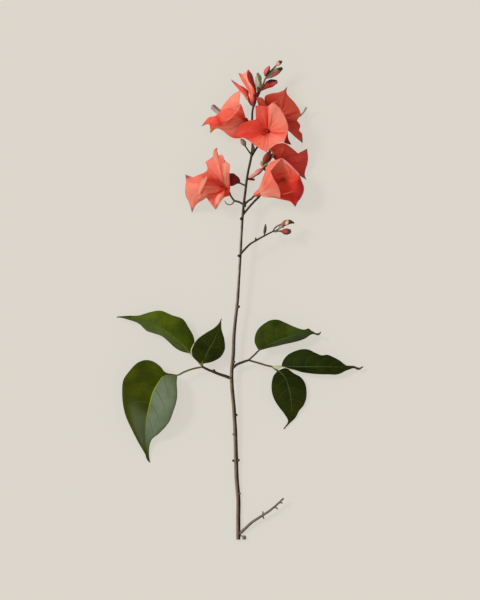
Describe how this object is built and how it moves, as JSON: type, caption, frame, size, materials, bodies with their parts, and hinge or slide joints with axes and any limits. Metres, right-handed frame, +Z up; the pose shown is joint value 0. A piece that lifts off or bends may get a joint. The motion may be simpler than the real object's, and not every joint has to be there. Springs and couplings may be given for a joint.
{
  "type": "bougainvillea flower",
  "caption": "Cut flowering bougainvillea sprig with papery salmon-red bracts, pointed green leaves, buds and a woody stem, lying flat on a surface.",
  "frame": {"origin": "on the surface that the sprig lies on, under the middle of its outline", "axes": "+Z up from the surface, +Y along the stem from its cut end to the top bud, +X to the right seen from above"},
  "size_m": [0.1981, 0.3837, 0.0363],
  "materials": {
    "bark": "matt brown bark, greyer and greener toward the top",
    "leaf": "dark olive green with a soft waxy sheen",
    "bract_salmon": "thin papery salmon bract with fine veins",
    "bract_orange": "thin papery orange-red bract in half shade",
    "bract_red": "thin papery deep red bract",
    "bud_red": "soft red bud, slightly downy",
    "bud_wine": "dark wine red closed bud",
    "bud_green": "grey-green downy bud",
    "bud_brown": "orange-brown bud",
    "floret": "pale grey floret tube"
  },
  "bodies": {
    "root": {"stem": "bark", "leaf_left_upper": "leaf", "leaf_left_middle": "leaf", "leaf_left_lower": "leaf", "leaf_right_upper": "leaf", "leaf_right_middle": "leaf", "leaf_right_lower": "leaf", "bloom_left": "bract_salmon", "bloom_upper_left": "bract_salmon", "bloom_center": "bract_salmon", "bloom_upper_right": "bract_orange", "bloom_right_back": "bract_red", "bloom_right_front": "bract_salmon", "top_bract_folded": "bract_salmon", "top_bract_narrow": "bract_salmon", "bud_dark_red": "bud_wine", "bud_top_green": "bud_green", "bud_top_red": "bud_red", "bud_top_upper_red": "bract_salmon", "bud_top_long": "bud_green", "bud_tip": "bract_salmon", "bud_olive": "bud_green", "side_bract_pink": "bract_salmon", "side_bud_orange": "bud_brown", "bud_twig_leaflet": "leaf", "bud_twig_brown": "bud_brown", "bud_twig_red": "bud_red", "floret_upper_left": "floret", "floret_upper_right": "floret", "floret_front": "bud_red", "floret_center": "bud_red", "floret_left": "bud_red"}
  },
  "joints": []
}
